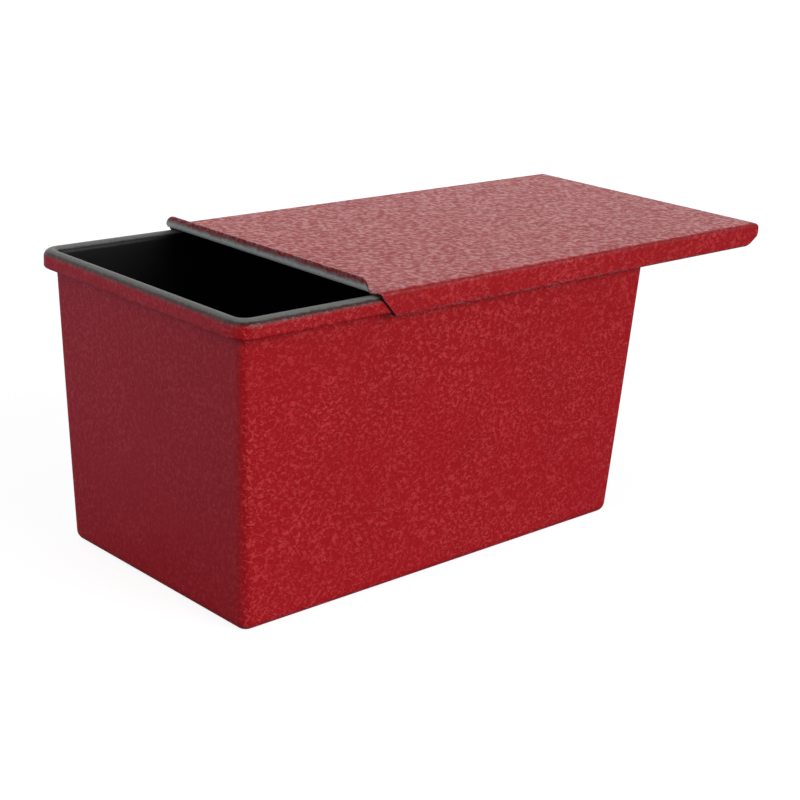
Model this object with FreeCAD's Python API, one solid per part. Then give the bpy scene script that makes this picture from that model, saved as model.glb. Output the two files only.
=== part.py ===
"""Lidded loaf pan: a pressed sheet-metal pan with a wired rim, and a lid that slides along it.

Frame: millimetres, +Z up, origin at the middle of the underside of the pan's base.
X runs along the pan and is the way the lid slides: +X opens it, -X closes it.
The lid is modelled part open, which is the rest position of its slide.
"""
import FreeCAD, Part
import os
from math import cos, pi, sin

Vector = FreeCAD.Vector

# ---- pan: driving dimensions -------------------------------------------------------------
SHEET = 0.8                     # thickness of the pan's and the lid's steel sheet
PAN_HEIGHT = 110.0              # base to the top of the rim
BASE_LENGTH = 184.6             # outside sizes at the base, as if its edges were sharp
BASE_WIDTH = 101.6
MOUTH_LENGTH = 195.4            # outside sizes of the wall just under the rim
MOUTH_WIDTH = 106.3
BASE_CORNER = 4.4               # plan radius of the four upright edges at the base
MOUTH_CORNER = 3.0              # the same just under the rim
BASE_EDGE = 3.8                 # radius between the base and the walls

# ---- rim: the sheet is turned outwards over a wire ------------------------------------------
RIM_RADIUS = 2.65               # outside radius of the turn over the wire
RIM_DROP = 6.65                 # top of the rim to the bottom of its skirt
TUCK_RADIUS = 1.1               # outside radius where the skirt is tucked back under
TUCK_FLAT = 0.8                 # flat end of the tucked edge
WIRE_RADIUS = 1.75              # reinforcing wire inside the rim

# ---- lid ---------------------------------------------------------------------------------
LID_GAP = 0.7                   # rim top to the underside of the lid
LID_SIDE_GAP = 0.36             # rim's side to the inside of the rail
HOOK_GAP = 0.35                 # bottom of the rim's skirt to the rail's hook
LID_START = -47.3               # leading end of the lid, part open
LID_LENGTH = 209.7
RAIL_BEND = 1.5                 # outside radius between lid plate and rail
HOOK_BEND = 1.3                 # outside radius between rail and hook
HOOK_REACH = 3.6                # width of the hook that runs under the rim
RAIL_CUT = 8.0                  # length of the sloping cut at the rail's leading end
RAIL_HEEL_LENGTH = 6.6          # corner taken off the rail's trailing end
RAIL_HEEL_HEIGHT = 4.1
HEEL_ROUND = 1.6
LIP_RISE = 4.1                  # upturned leading lip above the lid plate
LIP_BEND = 2.1                  # outside radius of the lip's bend
LIP_ENDS = {-1: 55.6, 1: 57.2}  # where the lip's bend ends on the -Y and on the +Y side
LIP_ROUNDS = {-1: 1.3, 1: 3.2}  # radius of its upper corner on each side
LIP_NARROWING = {-1: 3.0, 1: 1.0}  # the top edge is shorter than the bend by this, per side
STOP_DROP = 5.2                 # downturned trailing end, which meets the rim when closed
STOP_BEND = 2.6
STOP_SIDE_GAP = 0.8             # relief between the stop and each rail
STOP_ROUND = 1.2
PLATE_CHAMFER = 3.1             # corner taken off the plate beside the lip
CORNER_BACK = {-1: 0.0, 1: 1.25}  # how far behind the lip that corner starts, per side

# ---- modelling allowances ------------------------------------------------------------------
TURN_EASE = 1e-3                # a turn's corners are this much under its radius, to keep a flat
TOOL_CLEARANCE = 1.0            # how far cutting shapes run past the sheet
WALL_BELOW_SKIRT = 0.35         # the tapered wall ends this far under the skirt

# ---- sizes worked out from the ones above ----------------------------------------------------
RIM_WIDTH = 2.0 * RIM_RADIUS
RIM_OVERHANG = RIM_WIDTH - SHEET
RIM_CENTRE_Z = PAN_HEIGHT - RIM_RADIUS
SKIRT_BOTTOM = PAN_HEIGHT - RIM_DROP
WALL_TOP = SKIRT_BOTTOM - WALL_BELOW_SKIRT
RIM_HALF_WIDTH = MOUTH_WIDTH / 2.0 + RIM_OVERHANG
LID_UNDER = PAN_HEIGHT + LID_GAP
LID_TOP = LID_UNDER + SHEET
LID_HALF_WIDTH = RIM_HALF_WIDTH + LID_SIDE_GAP + SHEET
HOOK_BOTTOM = SKIRT_BOTTOM - HOOK_GAP - SHEET
LID_END = LID_START + LID_LENGTH


# ---- outlines ----------------------------------------------------------------------------
def corner_cut(before, corner, after, radius):
    """Return where a round of this radius leaves the two sides of a corner, and its middle."""
    towards_before = (before - corner).normalize()
    towards_after = (after - corner).normalize()
    half_angle = towards_before.getAngle(towards_after) / 2.0
    setback = radius * cos(half_angle) / sin(half_angle)
    start = corner + towards_before * setback
    end = corner + towards_after * setback
    bisector = (towards_before + towards_after).normalize()
    middle = corner + bisector * (radius / sin(half_angle) - radius)
    return start, middle, end


def outline(corners, place):
    """Closed wire through (u, v, radius) corners; place turns u and v into a point."""
    points = [place(u, v) for u, v, _ in corners]
    edges = []
    joints = []
    for index, (_, _, radius) in enumerate(corners):
        before = points[index - 1]
        after = points[(index + 1) % len(points)]
        if radius > 0.0:
            start, middle, end = corner_cut(before, points[index], after, radius)
            joints.append((start, end, Part.Arc(start, middle, end).toShape()))
        else:
            joints.append((points[index], points[index], None))
    for index, (_, end, arc) in enumerate(joints):
        next_start = joints[(index + 1) % len(joints)][0]
        if arc is not None:
            edges.append(arc)
        if end.distanceToPoint(next_start) > 1e-6:
            edges.append(Part.makeLine(end, next_start))
    return Part.Wire(edges)


def face(corners, place):
    return Part.Face(outline(corners, place))


def along_x(corners, start, end):
    """Extrude a (y, z, radius) outline from x = start to x = end."""
    section = face(corners, lambda y, z: Vector(start, y, z))
    return section.extrude(Vector(end - start, 0, 0))


def along_y(corners, start, end):
    """Extrude an (x, z, radius) outline from y = start to y = end."""
    section = face(corners, lambda x, z: Vector(x, start, z))
    return section.extrude(Vector(0, end - start, 0))


def along_z(corners, start, end):
    """Extrude an (x, y, radius) outline from z = start to z = end."""
    section = face(corners, lambda x, y: Vector(x, y, start))
    return section.extrude(Vector(0, 0, end - start))


def rounded_rectangle(length, width, radius, z):
    half_x = length / 2.0
    half_y = width / 2.0
    corners = [
        (-half_x, -half_y, radius),
        (half_x, -half_y, radius),
        (half_x, half_y, radius),
        (-half_x, half_y, radius),
    ]
    return outline(corners, lambda x, y: Vector(x, y, z))


# ---- pan ---------------------------------------------------------------------------------
def tapered_block(inset, floor):
    """Solid bounded by the wall, moved in by inset, from z = floor up to the rim."""
    slope_x = (MOUTH_LENGTH - BASE_LENGTH) / WALL_TOP
    slope_y = (MOUTH_WIDTH - BASE_WIDTH) / WALL_TOP
    lower = rounded_rectangle(
        BASE_LENGTH + slope_x * floor - 2.0 * inset,
        BASE_WIDTH + slope_y * floor - 2.0 * inset,
        BASE_CORNER - inset,
        floor,
    )
    upper = rounded_rectangle(
        MOUTH_LENGTH - 2.0 * inset,
        MOUTH_WIDTH - 2.0 * inset,
        MOUTH_CORNER - inset,
        WALL_TOP,
    )
    block = Part.makeLoft([lower, upper], True, True)
    base_edges = [edge for edge in block.Edges if edge.BoundBox.ZMax < floor + 1e-3]
    return block.makeFillet(BASE_EDGE - inset, base_edges)


def rim_section():
    """Rim profile as (outward, z, radius): up the wall, over the wire, down and tucked under.

    Outward is measured from the outside of the wall. The two halves of the turn are corners
    rounded to just under its radius, so that the top stays one smooth curve.
    """
    outer = RIM_OVERHANG
    inner_turn = RIM_RADIUS - SHEET
    tuck_end = outer - TUCK_RADIUS - TUCK_FLAT
    return [
        (-SHEET, WALL_TOP, 0.0),
        (-SHEET, PAN_HEIGHT, RIM_RADIUS - TURN_EASE),
        (outer, PAN_HEIGHT, RIM_RADIUS - TURN_EASE),
        (outer, SKIRT_BOTTOM, TUCK_RADIUS),
        (tuck_end, SKIRT_BOTTOM, 0.0),
        (tuck_end, SKIRT_BOTTOM + SHEET, 0.0),
        (outer - SHEET, SKIRT_BOTTOM + SHEET, TUCK_RADIUS - SHEET),
        (outer - SHEET, PAN_HEIGHT - SHEET, inner_turn - TURN_EASE),
        (0.0, PAN_HEIGHT - SHEET, inner_turn - TURN_EASE),
        (0.0, WALL_TOP, 0.0),
    ]


def around_mouth(section):
    """Carry an (outward, z, radius) section round the mouth: four runs and four corners."""
    run_x = MOUTH_LENGTH / 2.0 - MOUTH_CORNER
    run_y = MOUTH_WIDTH / 2.0 - MOUTH_CORNER
    pieces = []
    for side in (-1, 1):
        on_side = [(side * (MOUTH_WIDTH / 2.0 + out), z, radius) for out, z, radius in section]
        pieces.append(along_x(on_side, -run_x, run_x))
        on_end = [(side * (MOUTH_LENGTH / 2.0 + out), z, radius) for out, z, radius in section]
        pieces.append(along_y(on_end, -run_y, run_y))
    quarter = {(1, 1): 0.0, (-1, 1): 90.0, (-1, -1): 180.0, (1, -1): 270.0}
    for (side_x, side_y), start_angle in quarter.items():
        turned = face(section, lambda out, z: Vector(MOUTH_CORNER + out, 0, z))
        corner = turned.revolve(Vector(0, 0, 0), Vector(0, 0, 1), 90.0)
        corner.rotate(Vector(0, 0, 0), Vector(0, 0, 1), start_angle)
        corner.translate(Vector(side_x * run_x, side_y * run_y, 0))
        pieces.append(corner)
    return pieces


def make_pan_body():
    shell = tapered_block(0.0, 0.0).cut(tapered_block(SHEET, SHEET))
    return shell.fuse(around_mouth(rim_section())).removeSplitter()


def make_rim_wire():
    """Wire bent to the rounded rectangle of the rim, its ends meeting at the middle of a side."""
    out = RIM_RADIUS - SHEET
    length = MOUTH_LENGTH + 2.0 * out
    width = MOUTH_WIDTH + 2.0 * out
    path = rounded_rectangle(length, width, MOUTH_CORNER + out, RIM_CENTRE_Z)
    start = path.Vertexes[0].Point
    direction = path.Edges[0].tangentAt(path.Edges[0].FirstParameter)
    circle = Part.Wire(Part.makeCircle(WIRE_RADIUS, start, direction))
    return path.makePipeShell([circle], True, True)


# ---- lid ---------------------------------------------------------------------------------
def channel_section():
    """Lid plate with a rail down each side and a hook turned in under the rim."""
    inner_bend = RAIL_BEND - SHEET
    hook_inner = HOOK_BEND - SHEET
    inside = LID_HALF_WIDTH - SHEET
    hook_end = LID_HALF_WIDTH - HOOK_REACH
    right_half = [
        (LID_HALF_WIDTH, LID_TOP, RAIL_BEND),
        (LID_HALF_WIDTH, HOOK_BOTTOM, HOOK_BEND),
        (hook_end, HOOK_BOTTOM, 0.0),
        (hook_end, HOOK_BOTTOM + SHEET, 0.0),
        (inside, HOOK_BOTTOM + SHEET, hook_inner),
        (inside, LID_UNDER, inner_bend),
    ]
    left_half = [(-y, z, radius) for y, z, radius in reversed(right_half)]
    return right_half + left_half


def side_outline():
    """Outline of the lid's long side: sloping cut in front, corner taken off behind."""
    above = LID_TOP + TOOL_CLEARANCE
    below = HOOK_BOTTOM - TOOL_CLEARANCE
    cut_top = LID_START + PLATE_CHAMFER - SHEET
    slope = RAIL_CUT / (LID_UNDER - HOOK_BOTTOM)
    return [
        (LID_START, above, 0.0),
        (LID_START, LID_UNDER, 0.0),
        (cut_top, LID_UNDER, 0.0),
        (cut_top + slope * (LID_UNDER - below), below, 0.0),
        (LID_END - RAIL_HEEL_LENGTH, below, 0.0),
        (LID_END - RAIL_HEEL_LENGTH, HOOK_BOTTOM, HEEL_ROUND),
        (LID_END, HOOK_BOTTOM + RAIL_HEEL_HEIGHT, HEEL_ROUND),
        (LID_END, LID_TOP, STOP_BEND),
        (LID_END - 2.0 * STOP_BEND, LID_TOP, 0.0),
        (LID_END - 2.0 * STOP_BEND, above, 0.0),
    ]


def plate_corner(side):
    """Wedge that takes the plate's leading corner off, from the lip's end to the rail."""
    slope = side * (LID_HALF_WIDTH - LIP_ENDS[side]) / (PLATE_CHAMFER - CORNER_BACK[side])
    front_x = LID_START - TOOL_CLEARANCE
    start_x = LID_START + CORNER_BACK[side]
    end_x = LID_START + PLATE_CHAMFER + TOOL_CLEARANCE
    start_y = side * LIP_ENDS[side]
    end_y = side * LID_HALF_WIDTH + slope * TOOL_CLEARANCE
    wedge = [
        (front_x, start_y, 0.0),
        (start_x, start_y, 0.0),
        (end_x, end_y, 0.0),
        (front_x, end_y, 0.0),
    ]
    return along_z(wedge, LID_UNDER - TOOL_CLEARANCE, LID_TOP + TOOL_CLEARANCE)


def end_room(start, length, low_y, high_y):
    """Box that opens the plate's end for the lip or the stop."""
    low = LID_UNDER - TOOL_CLEARANCE
    height = SHEET + 2.0 * TOOL_CLEARANCE
    return Part.makeBox(length, high_y - low_y, height, Vector(start, low_y, low))


def make_channel():
    """Plate and rails, with room left at both ends for the lip and the stop."""
    wide = LID_HALF_WIDTH + TOOL_CLEARANCE
    rail_inside = LID_HALF_WIDTH - SHEET
    channel = along_x(channel_section(), LID_START, LID_END)
    channel = channel.common(along_y(side_outline(), -wide, wide))
    return channel.cut([
        end_room(LID_START, LIP_BEND, -LIP_ENDS[-1], LIP_ENDS[1]),
        end_room(LID_END - STOP_BEND, STOP_BEND, -rail_inside, rail_inside),
        plate_corner(-1),
        plate_corner(1),
    ])


def make_lip():
    """Upturned leading end, narrower at its top; its +Y end is longer and rounder."""
    lip_top = LID_TOP + LIP_RISE
    bent_sheet = [
        (LID_START + LIP_BEND, LID_UNDER, 0.0),
        (LID_START, LID_UNDER, LIP_BEND - TURN_EASE),
        (LID_START, lip_top, 0.0),
        (LID_START + SHEET, lip_top, 0.0),
        (LID_START + SHEET, LID_TOP, LIP_BEND - SHEET - TURN_EASE),
        (LID_START + LIP_BEND, LID_TOP, 0.0),
    ]
    low_y, high_y = -LIP_ENDS[-1], LIP_ENDS[1]
    front_view = [
        (low_y, LID_UNDER - TOOL_CLEARANCE, 0.0),
        (high_y, LID_UNDER - TOOL_CLEARANCE, 0.0),
        (high_y, LID_TOP, 0.0),
        (high_y - LIP_NARROWING[1], lip_top, LIP_ROUNDS[1]),
        (low_y + LIP_NARROWING[-1], lip_top, LIP_ROUNDS[-1]),
        (low_y, LID_TOP, 0.0),
    ]
    bent = along_y(bent_sheet, low_y, high_y)
    return bent.common(along_x(front_view, LID_START, LID_START + LIP_BEND))


def make_stop():
    """Downturned trailing end, clear of the rails by a small relief at each side."""
    half_width = LID_HALF_WIDTH - SHEET - STOP_SIDE_GAP
    stop_bottom = LID_TOP - STOP_DROP
    bent_sheet = [
        (LID_END - STOP_BEND, LID_TOP, 0.0),
        (LID_END, LID_TOP, STOP_BEND - TURN_EASE),
        (LID_END, stop_bottom, 0.0),
        (LID_END - SHEET, stop_bottom, 0.0),
        (LID_END - SHEET, LID_UNDER, STOP_BEND - SHEET - TURN_EASE),
        (LID_END - STOP_BEND, LID_UNDER, 0.0),
    ]
    end_view = [
        (-half_width, stop_bottom, STOP_ROUND),
        (half_width, stop_bottom, STOP_ROUND),
        (half_width, LID_TOP + TOOL_CLEARANCE, 0.0),
        (-half_width, LID_TOP + TOOL_CLEARANCE, 0.0),
    ]
    bent = along_y(bent_sheet, -half_width, half_width)
    return bent.common(along_x(end_view, LID_END - STOP_BEND, LID_END))


def make_sliding_lid():
    return make_channel().fuse([make_lip(), make_stop()]).removeSplitter()


# ---- write the pieces --------------------------------------------------------------------
def main():
    os.makedirs("parts", exist_ok=True)
    pieces = {
        "pan_body": make_pan_body(),
        "rim_wire": make_rim_wire(),
        "sliding_lid": make_sliding_lid(),
    }
    for name, shape in pieces.items():
        solid = shape.Solids[0]
        box = solid.BoundBox
        print(name, "solids", len(shape.Solids), "valid", solid.isValid(), "closed", solid.isClosed())
        print("  volume mm3", round(solid.Volume, 1), "x", round(box.XMin, 2), round(box.XMax, 2),
              "y", round(box.YMin, 2), round(box.YMax, 2), "z", round(box.ZMin, 2), round(box.ZMax, 2))
        solid.exportStep("parts/" + name + ".step")


main()
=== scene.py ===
"""Looks of a lidded loaf pan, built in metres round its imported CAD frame.

The pan is one pressed sheet whose rim is turned out over a wire, and the lid is one folded
sheet that slides along the rim. Both are sprayed: a red wrinkle coat outside and a dark
non-stick coat inside. The two coats meet softly on the shoulder of the rim and on the lid's lip.
"""
import logging
import math
from dataclasses import dataclass
from enum import Enum
from typing import Callable, Iterable, Mapping, Sequence

import bpy
import numpy as np
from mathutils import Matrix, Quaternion, Vector


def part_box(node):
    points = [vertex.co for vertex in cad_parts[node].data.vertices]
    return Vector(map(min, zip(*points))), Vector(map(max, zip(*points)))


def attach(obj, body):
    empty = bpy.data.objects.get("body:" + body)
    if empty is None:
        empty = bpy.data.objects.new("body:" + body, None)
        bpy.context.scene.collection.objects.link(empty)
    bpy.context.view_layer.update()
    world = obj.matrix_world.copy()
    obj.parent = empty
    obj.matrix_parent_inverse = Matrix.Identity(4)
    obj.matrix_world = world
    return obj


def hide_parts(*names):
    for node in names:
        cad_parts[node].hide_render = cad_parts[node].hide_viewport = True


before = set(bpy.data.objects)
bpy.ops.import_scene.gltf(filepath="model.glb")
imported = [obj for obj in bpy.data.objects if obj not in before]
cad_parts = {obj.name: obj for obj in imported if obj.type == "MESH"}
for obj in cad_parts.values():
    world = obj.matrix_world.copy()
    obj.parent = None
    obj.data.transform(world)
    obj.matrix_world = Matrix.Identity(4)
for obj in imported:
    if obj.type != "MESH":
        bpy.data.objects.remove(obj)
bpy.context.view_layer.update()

log = logging.getLogger("loaf_pan")

MM = 0.001
SHEET = 0.8 * MM
OVER = "over"      # mesh attribute: millimetres past the coats' meeting line, red side positive
EDGE_WEAR_AND_HIGHLIGHT = "edge"      # mesh attribute: wearing with a painted highlight, 1 on a cut edge of the sheet, up to 1 at the bottom of the lid's hooks, 0 elsewhere
LIP_LIGHT = "lip_light"        # mesh attribute: painted light on the lip, 1 where it is strongest, 0 elsewhere
FACING = "facing"  # mesh attribute: the way the surface faces
RED_OVER = 6.0     # value of OVER on a face that is red all over
EDGE_OVER = (0.1, 1.2)     # least and most of OVER on a cut edge
WELD = 0.001 * MM  # points of the folded sheet that are nearer than this are one
MITRE_LIMIT = 1.5  # how much longer than its width a cut edge's strip gets at a corner
TINY = 1e-15       # keeps a length from being zero when something is divided by it


class Body(Enum):
    """The CAD bodies that pieces ride on."""

    PAN = "pan"
    LID = "lid"


class Slot(Enum):
    """The record's material slots."""

    SHEET = "coated_sheet"
    WIRE = "wire_steel"


# ---- node trees as expressions ---------------------------------------------------------------
class Field:
    """One output socket of a node tree, with Python's operators."""

    def __init__(self, graph: "Graph", socket: bpy.types.NodeSocket) -> None:
        """Wrap a socket.

        Args:
            graph: the tree that the socket is in.
            socket: the output socket.
        """
        self.graph = graph
        self.socket = socket

    def _combine(self, operation: str, first: object, second: object) -> "Field":
        """Add a Math node, or a Vector Math node where this socket is a vector.

        Args:
            operation: the Math node's operation.
            first: left value or field.
            second: right value or field.

        Returns:
            The result.
        """
        if self.socket.type != "VECTOR":
            return self.graph.add("ShaderNodeMath", {"operation": operation}, {0: first, 1: second})
        scalar = isinstance(second, (int, float)) or (
            isinstance(second, Field) and second.socket.type == "VALUE"
        )
        if operation == "MULTIPLY" and scalar:
            return self.graph.add(
                "ShaderNodeVectorMath", {"operation": "SCALE"}, {"Vector": first, "Scale": second}
            )
        return self.graph.add(
            "ShaderNodeVectorMath", {"operation": operation}, {0: first, 1: second}
        )

    def __abs__(self) -> "Field":
        """Return the absolute value."""
        return self.graph.add("ShaderNodeMath", {"operation": "ABSOLUTE"}, {0: self})

    @staticmethod
    def _operator(operation: str, reflected: bool = False) -> Callable[["Field", object], "Field"]:
        """Return the method that stands for one of Python's operators.

        Args:
            operation: the Math node's operation.
            reflected: whether the field is the right-hand one of the two.
        """
        def combine(self: "Field", other: object) -> "Field":
            """Combine this field with a value or another field."""
            pair = (other, self) if reflected else (self, other)
            return self._combine(operation, *pair)

        return combine

    __add__ = _operator("ADD")
    __radd__ = _operator("ADD")
    __sub__ = _operator("SUBTRACT")
    __rsub__ = _operator("SUBTRACT", reflected=True)
    __mul__ = _operator("MULTIPLY")
    __rmul__ = _operator("MULTIPLY")
    __truediv__ = _operator("DIVIDE")
    __rtruediv__ = _operator("DIVIDE", reflected=True)


class Graph:
    """Builds one node tree, of a material, a world or a Geometry Nodes modifier."""

    def __init__(self, tree: bpy.types.NodeTree) -> None:
        """Take an existing tree and empty it.

        Args:
            tree: the node tree to fill.
        """
        self.tree = tree
        tree.nodes.clear()

    def add(
        self,
        kind: str,
        settings: Mapping[str, object] | None = None,
        inputs: Mapping[int | str, object] | None = None,
        output: str | None = None,
    ) -> Field:
        """Add any node.

        Args:
            kind: the node's type, such as ShaderNodeTexNoise.
            settings: the node's properties, set first; "stops" fills a colour ramp.
            inputs: a value or a field for each socket, by name or by place.
            output: the output socket's name, or None for the first in use.

        Returns:
            The chosen output socket, or an empty field where the node has none.
        """
        node = self.tree.nodes.new(kind)
        for name, value in (settings or {}).items():
            if name == "stops":
                self._fill_ramp(node.color_ramp, value)
            else:
                setattr(node, name, value)
        for key, value in (inputs or {}).items():
            socket = self._find(node.inputs, key)
            if isinstance(value, Field):
                self.tree.links.new(value.socket, socket)
            else:
                socket.default_value = value
        if not node.outputs:
            return Field(self, None)
        if output is None:
            return Field(self, next(s for s in node.outputs if s.enabled))
        return Field(self, self._find(node.outputs, output))

    @staticmethod
    def _find(sockets: Iterable[bpy.types.NodeSocket], key: int | str) -> bpy.types.NodeSocket:
        """Find a socket in use by its name, or by its place among all.

        Args:
            sockets: the node's inputs or outputs.
            key: a name or a place.

        Returns:
            The socket.
        """
        if isinstance(key, int):
            return sockets[key]
        return next(s for s in sockets if s.name == key and s.enabled)

    @staticmethod
    def _fill_ramp(ramp: bpy.types.ColorRamp, stops: Sequence[tuple[float, tuple]]) -> None:
        """Set a colour ramp's stops.

        Args:
            ramp: the ramp, with its two stops.
            stops: place and colour of each stop, in order.
        """
        while len(ramp.elements) < len(stops):
            ramp.elements.new(1.0)
        for element, (place, colour) in zip(ramp.elements, stops):
            element.position = place
            element.color = (*colour, 1.0)

    def attribute(self, name: str) -> Field:
        """Return a number stored on the mesh.

        Args:
            name: the attribute's name.
        """
        return self.add("ShaderNodeAttribute", {"attribute_name": name}, output="Fac")

    def step(self, value: Field, low: float, high: float) -> Field:
        """Return a smooth step from 0 at low to 1 at high.

        Args:
            value: the number that is stepped.
            low: where the step starts.
            high: where it ends.
        """
        return self.add(
            "ShaderNodeMapRange",
            {"interpolation_type": "SMOOTHSTEP"},
            {"Value": value, "From Min": low, "From Max": high},
        )

    def blend(self, factor: object, first: object, second: object, kind: str = "RGBA") -> Field:
        """Mix two colours, vectors or numbers.

        Args:
            factor: 0 gives the first, 1 the second.
            first: value or field.
            second: value or field.
            kind: RGBA, VECTOR or FLOAT.

        Returns:
            The mixed field.
        """
        return self.add(
            "ShaderNodeMix", {"data_type": kind}, {"Factor": factor, "A": first, "B": second}
        )

    def noise(self, where: Field, size: float, detail: float = 2.0, warp: float = 0.0) -> Field:
        """Return 3-D noise from 0 to 1.

        Args:
            where: coordinates in metres.
            size: size of its largest grains, in metres.
            detail: octaves.
            warp: distortion.
        """
        return self.add(
            "ShaderNodeTexNoise",
            None,
            {"Vector": where, "Scale": 1.0 / size, "Detail": detail, "Distortion": warp},
        )


def rgba(colour: tuple[float, float, float]) -> tuple[float, float, float, float]:
    """Return a colour with full alpha.

    Args:
        colour: linear red, green and blue.
    """
    return (*colour, 1.0)


def new_material(name: str) -> tuple[bpy.types.Material, Graph]:
    """Return an empty material and the graph of its tree.

    Args:
        name: the material's name.
    """
    material = bpy.data.materials.new(name)
    material.use_nodes = True
    return material, Graph(material.node_tree)


# ---- finishes --------------------------------------------------------------------------------
Limits = tuple[float, float]    # where a smooth step starts and where it ends


@dataclass(frozen=True)
class WrinkleCoat:
    """Red sprayed coat that dries in fine worm-like wrinkles."""

    body: tuple[float, float, float] = (0.395, 0.0035, 0.0085)
    crest: tuple[float, float, float] = (0.620, 0.0240, 0.0300)
    wrinkle: float = 1.45 * MM
    wrinkle_warp: float = 0.7
    wrinkle_limits: Limits = (0.42, 0.74)
    lump: float = 3.6 * MM
    patch: float = 22.0 * MM        # size of the areas where the wrinkles are bold or faint
    patch_limits: Limits = (0.32, 0.62)
    patch_faint: float = 0.6        # height of the wrinkles where they are faintest
    wrinkle_relief: float = 0.26 * MM
    lump_relief: float = 0.16 * MM
    roughness: float = 0.45
    matt: float = 0.20              # gloss layer on the smooth ground, 0 to 1
    glossy: float = 0.90            # and on the crests
    flat_wrinkle: float = 1.9 * MM  # on faces that dried lying flat the wrinkles are bolder
    flat_warp: float = 0.3
    flat_limits: Limits = (0.34, 0.70)
    flat_glossy: float = 0.95
    flat_matt_loss: float = 0.85    # how much less gloss the ground has there
    flat_crest_loss: float = 0.35   # how much less the crests' colour shows there
    end_faintness: float = 0.55     # on the end walls they are fainter by this share
    end_level: float = 0.38         # and nearer to this height
    cloud: float = 30.0 * MM        # size of the darker clouds in the colour
    cloud_limits: Limits = (0.3, 0.8)
    cloud_strength: float = 0.2
    cloud_tone: float = 0.8         # brightness of a cloud

    def wrinkles(self, graph: Graph, where: Field, flat: Field, end: Field) -> Field:
        """Return the height of the wrinkles, from 0 in a valley to 1 on a crest.

        Args:
            graph: the material's tree.
            where: coordinates in metres.
            flat: 1 on faces that look up.
            end: 1 on faces that look along the pan.
        """
        swirl = graph.noise(where, self.wrinkle, detail=1.0, warp=self.wrinkle_warp)
        bold = graph.step(graph.noise(where, self.patch, detail=1.0), *self.patch_limits)
        height = self.patch_faint + (1.0 - self.patch_faint) * bold
        upright = graph.step(swirl, *self.wrinkle_limits) * height
        upright = graph.blend(end * self.end_faintness, upright, self.end_level, "FLOAT")
        level = graph.noise(where, self.flat_wrinkle, detail=2.0, warp=self.flat_warp)
        return graph.blend(flat, upright, graph.step(level, *self.flat_limits), "FLOAT")

    def sheen(self, graph: Graph, wrinkle: Field, flat: Field) -> Field:
        """Return the strength of the gloss layer.

        Args:
            graph: the material's tree.
            wrinkle: height of the wrinkles.
            flat: 1 on faces that look up.
        """
        crest = graph.blend(flat, self.glossy, self.flat_glossy, "FLOAT")
        ground = self.matt * (1.0 - self.flat_matt_loss * flat)
        return ground + (crest - ground) * wrinkle

    def colour(self, graph: Graph, where: Field, wrinkle: Field, flat: Field) -> Field:
        """Return the coat's colour.

        Args:
            graph: the material's tree.
            where: coordinates in metres.
            wrinkle: height of the wrinkles.
            flat: 1 on faces that look up.
        """
        cloud = graph.step(graph.noise(where, self.cloud, detail=3.0), *self.cloud_limits)
        shown = wrinkle * (1.0 - self.flat_crest_loss * flat)
        tone = graph.blend(shown, rgba(self.body), rgba(self.crest))
        darker = tuple(self.cloud_tone * channel for channel in self.body)
        return graph.blend(cloud * self.cloud_strength, tone, rgba(darker))


@dataclass(frozen=True)
class NonStickCoat:
    """Dark satin coat: painted light grey over the rim and painted shade near black inside."""

    # painted light: the coat's grey over the rim and along the meeting line
    lit_tone: tuple[float, float, float] = (0.168, 0.170, 0.162)
    # painted light: the grey lifted nearly to white on the lip's outer face
    painted_lift: tuple[float, float, float] = (0.86, 0.90, 0.90)
    # painted shade: the same coat near black inside, also used for the sheet's painted shade lines
    shade_tone: tuple[float, float, float] = (0.008, 0.008, 0.009)
    grain: float = 0.6 * MM
    grain_limits: Limits = (0.45, 0.75)
    grain_strength: float = 0.3
    grain_tone: float = 0.55        # brightness of a dark grain
    roughness: float = 0.36
    fade: Limits = (4.1, 5.3)       # mm past the meeting line, where the painted light grey turns to the painted shade
    streak: float = 5.0 * MM        # size of the unevenness of that turn
    streak_squash: float = 3.0      # how much shorter a streak is upwards
    streak_shift: float = 0.8       # mm from the least to the most

    def colour(self, graph: Graph, where: Field, over: Field) -> Field:
        """Return the coat's colour.

        Args:
            graph: the material's tree.
            where: coordinates in metres.
            over: millimetres past the coats' meeting line.
        """
        grain = graph.noise(where, self.grain, detail=2.0)
        # painted shade: the grey turns near black further past the meeting line, unevenly
        streak = graph.noise(where * (1.0, 1.0, self.streak_squash), self.streak, detail=2.0)
        interior_shade = graph.step(0.0 - over + (streak - 0.5) * self.streak_shift, *self.fade)
        # painted light: the lip's outer face lifted towards a pale grey
        lit_tone = graph.blend(graph.attribute(LIP_LIGHT), rgba(self.lit_tone), rgba(self.painted_lift))
        tone = graph.blend(interior_shade, lit_tone, rgba(self.shade_tone))
        darker = tuple(self.grain_tone * channel for channel in self.shade_tone)
        speckle = graph.step(grain, *self.grain_limits) * self.grain_strength
        return graph.blend(speckle, tone, rgba(darker))


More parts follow.
